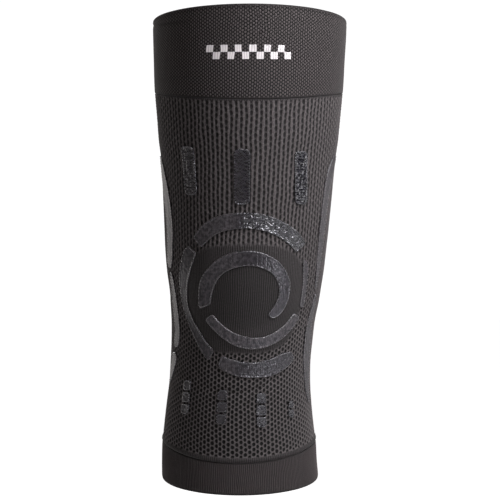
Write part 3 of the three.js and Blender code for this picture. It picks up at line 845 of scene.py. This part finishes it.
def silicone_print(name, node, length, width, corners, satin, crinkle, rails):
    """
    A print on the knit. rails gives its two long edges in the unrolled surface, in millimetres across from
    the front and up from the kneecap, at a share of its length. corners: corner radius at its start and end.
    satin: 0 for a thin glossy film, 1 for a thick greyer one; crinkle: 0 for a smooth film, 1 for a deeply
    crinkled one. Both are given left and right of the middle of the leg.
    """
    along_rows = spaced(length, PRINT_CELL)
    across_rows = spaced(width, PRINT_CELL)
    rows = len(along_rows) - 1
    steps = len(across_rows) - 1
    slab = bmesh.new()
    bmesh.ops.create_grid(slab, x_segments=steps, y_segments=rows, size=0.5)
    stitches = slab.loops.layers.uv.new("stitches")
    bead = slab.verts.layers.float.new("bead")
    satin_layer = slab.verts.layers.float.new("satin")
    crinkle_layer = slab.verts.layers.float.new("crinkle")
    places = {}
    for vert in slab.verts:
        across = across_rows[round((vert.co.x + 0.5) * steps)]
        along = along_rows[round((vert.co.y + 0.5) * rows)]
        (ax, az), (bx, bz) = rails(along / length)
        breadth = math.hypot(bx - ax, bz - az)
        inset = 0.0
        for to_end, corner in ((along, corners[0]), (length - along, corners[1])):
            past = max(0.0, corner - to_end)
            inset += corner - math.sqrt(corner ** 2 - past ** 2)
        inset = min(inset, 0.49 * breadth)
        share = (inset + (breadth - 2 * inset) * across / width) / breadth
        x = ax + (bx - ax) * share
        z = az + (bz - az) * share
        places[vert] = (x, z)
        edge = min(across * breadth / width, (width - across) * breadth / width, along, length - along)
        rounded = math.sqrt(1 - (1 - min(1.0, edge / PRINT_BEVEL)) ** 2)
        on_bead = math.exp(-((edge - BEAD["inset"]) / BEAD["width"]) ** 2)
        on_side = min(across, width - across) * breadth / width < min(along, length - along)
        stitch_edge = math.cos(math.tau * (along if on_side else across) / BEAD["pitch"])
        rib = math.cos(4 * math.pi * MESH_COLUMNS * x / MEAN_RADIUS / math.tau)
        relief = on_bead * (BEAD["rise"] + BEAD["swell"] * stitch_edge) + 0.03 * rib
        vert[bead] = on_bead
        to_right = smooth_step(-9.0, 1.0, x)
        vert[satin_layer] = satin[0] + (satin[1] - satin[0]) * to_right
        vert[crinkle_layer] = crinkle[0] + (crinkle[1] - crinkle[0]) * to_right
        vert.co = on_sleeve(x / MEAN_RADIUS, z, (PRINT_THICKNESS + relief) * rounded - 0.05)
    for face in slab.faces:
        for corner in face.loops:
            x, z = places[corner.vert]
            column = MESH_COLUMNS / 2 + MESH_COLUMNS * x / MEAN_RADIUS / math.tau
            corner[stitches].uv = (column, z / COURSE_LOW)
    piece = finish_piece(name, slab, silicone, [node])
    thickness = piece.modifiers.new("underside", "SOLIDIFY")
    thickness.thickness = 0.0003
    thickness.offset = -1.0
    return piece


# Silicone, near black with a cool tint, screen-printed and cured on the knit: glossy, dimpled over the knit's
# stitches, greyer and more satin where it is thick, and glossiest on its beaded edge.
silicone, tree = new_material("printed_silicone")
stitch_map = add_node(tree, "ShaderNodeUVMap", {"uv_map": "stitches"}, {})
counts = add_node(tree, "ShaderNodeSeparateXYZ", {}, {"Vector": stitch_map.outputs["UV"]})
bead = add_node(tree, "ShaderNodeAttribute", {"attribute_name": "bead"}, {})
satin = add_node(tree, "ShaderNodeAttribute", {"attribute_name": "satin"}, {})
crinkle = add_node(tree, "ShaderNodeAttribute", {"attribute_name": "crinkle"}, {})
rib_turn = add_node(tree, "ShaderNodeMath", {"operation": "MULTIPLY"}, {
    0: counts.outputs["X"], 1: 2 * math.tau,
})
ribs = add_node(tree, "ShaderNodeMath", {"operation": "COSINE"}, {0: rib_turn.outputs[0]})
course_turn = add_node(tree, "ShaderNodeMath", {"operation": "MULTIPLY"}, {
    0: counts.outputs["Y"], 1: 2 * math.tau,
})
courses = add_node(tree, "ShaderNodeMath", {"operation": "COSINE"}, {0: course_turn.outputs[0]})
dimples = add_node(tree, "ShaderNodeMath", {"operation": "MULTIPLY_ADD"}, {
    0: ribs.outputs[0], 1: courses.outputs[0], 2: ribs.outputs[0],
})
grain = add_node(tree, "ShaderNodeTexNoise", {}, {
    "Vector": stitch_map.outputs["UV"], "Scale": 1.4, "Detail": 1.5, "Roughness": 0.6,
})
knit_through = add_node(tree, "ShaderNodeMath", {"operation": "MULTIPLY_ADD"}, {
    0: dimples.outputs[0], 1: 0.03, 2: grain.outputs["Fac"],
})
tint = add_node(tree, "ShaderNodeMapRange", {}, {
    "Value": knit_through.outputs[0], "From Min": 0.35, "From Max": 0.65, "To Min": 0.0, "To Max": 1.0,
})
thin_film = add_node(tree, "ShaderNodeMix", {"data_type": "RGBA"}, {
    "Factor": tint.outputs[0], "A": linear("#010102"), "B": linear("#131119"),
})
thick_film = add_node(tree, "ShaderNodeMix", {"data_type": "RGBA"}, {
    "Factor": tint.outputs[0], "A": linear("#181718"), "B": linear("#403c3f"),
})
colour = add_node(tree, "ShaderNodeMix", {"data_type": "RGBA"}, {
    "Factor": satin.outputs["Fac"], "A": thin_film.outputs["Result"], "B": thick_film.outputs["Result"],
})
flat_gloss = add_node(tree, "ShaderNodeMapRange", {}, {
    "Value": satin.outputs["Fac"], "To Min": 0.2, "To Max": 0.42,
})
gloss = add_node(tree, "ShaderNodeMix", {"data_type": "FLOAT"}, {
    "Factor": bead.outputs["Fac"], "A": flat_gloss.outputs[0], "B": 0.18,
})
grain_bump = add_node(tree, "ShaderNodeBump", {}, {
    "Height": knit_through.outputs[0], "Strength": crinkle.outputs["Fac"], "Distance": 0.0013,
})
wet_look = add_node(tree, "ShaderNodeMapRange", {}, {
    "Value": satin.outputs["Fac"], "From Min": 0.0, "From Max": 0.6, "To Min": 1.0, "To Max": 0.0,
})
wet_edge = add_node(tree, "ShaderNodeMath", {"operation": "MAXIMUM"}, {
    0: wet_look.outputs[0], 1: bead.outputs["Fac"],
})
rubber = add_node(tree, "ShaderNodeBsdfPrincipled", {}, {
    "Base Color": colour.outputs["Result"],
    "Roughness": gloss.outputs[0],
    "IOR": 1.45,
    "Specular Tint": linear("#eef0fd"),
    "Coat Weight": wet_edge.outputs[0],
    "Coat Roughness": 0.06,
    "Coat Normal": grain_bump.outputs["Normal"],
    "Normal": grain_bump.outputs["Normal"],
})
add_node(tree, "ShaderNodeOutputMaterial", {}, {"Surface": rubber.outputs["BSDF"]})

# Angles round the leg of the top and bottom of each bar; top and length are shares of the named sizes
THIGH_BARS = (
    ("left", -42.5, -40.0, 1.03, 0.93),
    ("centre", -4.0, -3.5, 1.00, 1.04),
    ("right", 35.5, 38.5, 0.99, 1.00),
)


def upright_rails(width, bottom, height, angle_bottom, angle_top):
    """The rails of an upright print, which may lean a little."""

    def rails(share):
        middle = math.radians(angle_bottom + (angle_top - angle_bottom) * share) * MEAN_RADIUS
        z = bottom + height * share
        return (middle - width / 2, z), (middle + width / 2, z)

    return rails


for side, angle_top, angle_bottom, top, length in THIGH_BARS:
    height = length * THIGH_BAR["length"]
    bottom = top * THIGH_BAR["top"] - height
    width = THIGH_BAR["width"]
    corners = (THIGH_BAR["corner"], THIGH_BAR["corner"])
    rails = upright_rails(width, bottom, height, angle_bottom, angle_top)
    name = f"thigh_bar_{side}"
    silicone_print(name, "print_" + name, height, width, corners, (0.25, 0.0), (0.65, 0.6), rails)


# Rings round the kneecap
# Two broken rings of the same silicone, four arcs outside and two inside, printed round the kneecap to steady
# its pad.

OUTER_RING_RADIUS = 54.0
INNER_RING_RADIUS = 31.0
ARC_CORNER = 2.2

# How satin and how crinkled each arc is, left and right of the middle of the leg
ARC_FINISH = {
    "print_ring_top": ((0.85, 0.0), (0.4, 1.3)),
    "print_ring_left": ((0.7, 0.7), (0.4, 0.4)),
    "print_ring_right": ((0.8, 0.8), (0.4, 0.4)),
    "print_ring_bottom": ((0.95, 0.4), (0.4, 0.7)),
    "print_kneecap_upper": ((0.8, 0.5), (0.4, 0.4)),
    "print_kneecap_lower": ((1.0, 1.0), (0.5, 0.5)),
}

# Clock angle in degrees from straight up the leg, and the inner and outer edge as shares of the radius
OUTER_RING = {
    "print_ring_top": (
        (-44, 0.79, 0.98), (-25, 0.82, 1.02), (-5, 0.81, 1.01), (25, 0.80, 1.00), (52, 0.82, 1.02),
    ),
    "print_ring_left": (
        (-152, 0.80, 0.96), (-130, 0.77, 0.90), (-113, 0.79, 0.91), (-98, 0.83, 0.96),
        (-86, 0.82, 0.985), (-70, 0.78, 0.985), (-57, 0.785, 0.99), (-51, 0.80, 0.97),
    ),
    "print_ring_right": ((62, 0.87, 0.93), (70, 0.83, 0.935), (87, 0.80, 0.90), (102, 0.81, 0.91)),
    "print_ring_bottom": (
        (134, 1.04, 1.18), (142, 0.96, 1.17), (155, 0.91, 1.13), (167, 0.88, 1.08),
        (179, 0.845, 1.04), (199, 0.81, 0.965),
    ),
}
INNER_RING = {
    "print_kneecap_upper": (
        (-108, 0.78, 1.10), (-90, 0.71, 1.065), (-75, 0.67, 1.03), (-57, 0.64, 0.97),
        (-37, 0.61, 0.94), (-5, 0.595, 0.93), (31, 0.645, 0.96), (52, 0.70, 0.995),
        (78, 0.73, 1.02), (104, 0.71, 0.99), (122, 0.68, 0.93), (131, 0.69, 0.84),
    ),
    "print_kneecap_lower": (
        (109, 1.30, 1.575), (121, 1.23, 1.49), (134, 1.15, 1.41), (150, 1.07, 1.32), (167, 0.975, 1.24),
        (182, 0.90, 1.165), (202, 0.835, 1.075), (219, 0.81, 1.035), (238, 0.82, 1.05),
    ),
}

for ring_radius, ring in ((OUTER_RING_RADIUS, OUTER_RING), (INNER_RING_RADIUS, INNER_RING)):
    for node, places in ring.items():
        edges = [dict(zip(("clock", "inner", "outer"), place)) for place in places]
        first = edges[0]["clock"]
        last = edges[-1]["clock"]
        middle = edges[len(edges) // 2]
        width = (middle["outer"] - middle["inner"]) * ring_radius
        length = math.radians(last - first) * ring_radius * (middle["outer"] + middle["inner"]) / 2

        def rails(share, edges=edges, ring_radius=ring_radius, first=first, last=last):
            clock = first + (last - first) * share
            turn = math.radians(clock)
            inner = read_smooth(edges, "clock", "inner", clock) * ring_radius
            outer = read_smooth(edges, "clock", "outer", clock) * ring_radius
            return (
                (outer * math.sin(turn), outer * math.cos(turn)),
                (inner * math.sin(turn), inner * math.cos(turn)),
            )

        name = node.replace("print_", "arc_")
        silicone_print(name, node, length, width, (ARC_CORNER, ARC_CORNER), *ARC_FINISH[node], rails)


# Shin dashes
# Four columns of short dashes of the same silicone, printed below the knee. Thin gaps between them let the
# knit bend.

SHIN_DASH = {"width": 7.6, "height": 7.2, "gap": 1.0, "top": 64.0, "corner": 3.0, "inner_corner": 0.9}

# Angle round the leg, top and size as shares, and how many dashes
SHIN_DASHES = ((-46, 0.92, 1.00, 3), (-13, 1.01, 1.00, 3), (17.5, 1.045, 1.00, 3), (44.5, 1.14, 0.74, 2))

dash_number = 0
for angle, top, size_share, count in SHIN_DASHES:
    width = size_share * SHIN_DASH["width"]
    height = size_share * SHIN_DASH["height"]
    for row in range(count):
        dash_number += 1
        bottom = -top * SHIN_DASH["top"] - row * (height + SHIN_DASH["gap"]) - height
        lower = SHIN_DASH["corner"] if row == count - 1 else SHIN_DASH["inner_corner"]
        upper = SHIN_DASH["corner"] if row == 0 else SHIN_DASH["inner_corner"]
        corners = (size_share * lower, size_share * upper)
        rails = upright_rails(width, bottom, height, angle, angle)
        name = f"shin_dash_{dash_number}"
        silicone_print(name, "print_" + name, height, width, corners, (0.4, 0.2), (0.5, 0.9), rails)


# Side strips
# Long narrow strips of the same silicone, printed down both sides, which stiffen the sleeve against rolling
# down. They stop short of the band and the cuff.

SIDE_STRIP = {"above": 95.0, "below": 76.0, "width": 7.5, "corner": 1.2}

# Height as a share of SIDE_STRIP, and the angles round the leg of the front and back edge
SIDE_STRIPS = {
    "print_side_left_upper": (
        (0.18, -67.5, -73), (0.25, -63.5, -73.2), (0.47, -60.8, -71.5), (0.70, -64.5, -76),
        (0.86, -71, -82), (0.95, -76.5, -86), (1.00, -82, -87),
    ),
    "print_side_left_middle": (
        (-0.49, -62.5, -69), (-0.38, -59, -68.6), (-0.26, -60.1, -69.6), (0.02, -64.5, -72.5),
        (0.15, -66.5, -70.5),
    ),
    "print_side_left_lower": (
        (-0.82, -76, -79), (-0.70, -67.6, -76.4), (-0.58, -63.5, -74), (-0.54, -67, -74),
    ),
    "print_side_right_upper": (
        (0.03, 64.2, 66.8), (0.16, 62, 68), (0.34, 60.6, 68.8), (0.53, 60.5, 69.6),
        (0.70, 61.5, 71.5), (0.86, 64.5, 76.5), (0.96, 70.5, 81.5), (1.00, 75.5, 81.5),
    ),
    "print_side_right_lower": (
        (-1.00, 71, 74), (-0.88, 66, 73.2), (-0.73, 63.6, 73.4), (-0.60, 61.1, 74),
        (-0.38, 60, 71.8), (-0.26, 61.1, 70), (-0.14, 63.2, 70.4), (-0.01, 65.6, 68.2),
    ),
}


def strip_height(at):
    return at * (SIDE_STRIP["above"] if at > 0 else SIDE_STRIP["below"])


for node, places in SIDE_STRIPS.items():
    edges = [dict(zip(("at", "front", "back"), place)) for place in places]
    first = edges[0]["at"]
    last = edges[-1]["at"]
    length = strip_height(last) - strip_height(first)

    def rails(share, edges=edges, first=first, last=last):
        at = first + (last - first) * share
        sides = [read_smooth(edges, "at", key, at) for key in ("front", "back")]
        z = strip_height(at)
        return [(math.radians(side) * MEAN_RADIUS, z) for side in sorted(sides)]

    name = node.replace("print_", "")
    corners = (SIDE_STRIP["corner"], SIDE_STRIP["corner"])
    silicone_print(name, node, length, SIDE_STRIP["width"], corners, (1.0, 1.0), (0.4, 0.4), rails)
